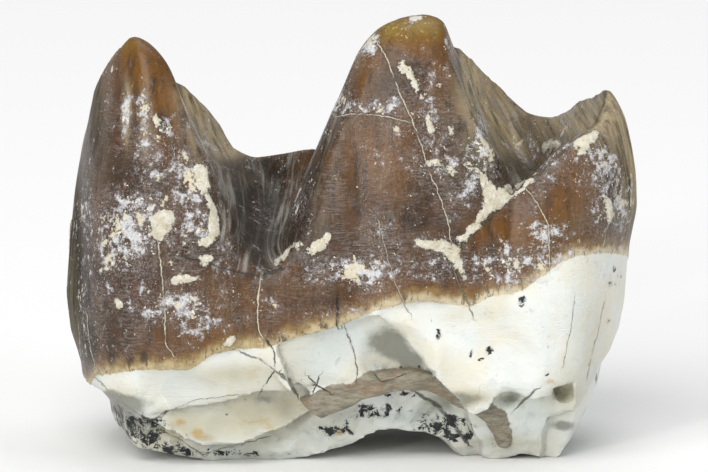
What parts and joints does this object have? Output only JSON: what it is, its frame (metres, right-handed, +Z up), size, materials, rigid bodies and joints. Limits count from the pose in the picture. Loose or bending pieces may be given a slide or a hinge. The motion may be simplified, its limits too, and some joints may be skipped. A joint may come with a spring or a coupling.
{
  "type": "fossil cheek tooth",
  "caption": "Fossil lower cheek tooth with tall pointed cones, two open basins and a broken pale root base it stands on.",
  "frame": {"origin": "centre of the tooth's bounding box in plan, on the plane its broken base stands on", "axes": "+X along the jaw from the lone cone to the low front crest, -Y the tongue side with the tall cones, +Z up to the cone tips"},
  "size_m": [0.022, 0.0134, 0.0172],
  "materials": {
    "tooth": "brown fossil enamel over white broken root, half gloss"
  },
  "bodies": {
    "root": {"tooth": "tooth"}
  },
  "joints": []
}
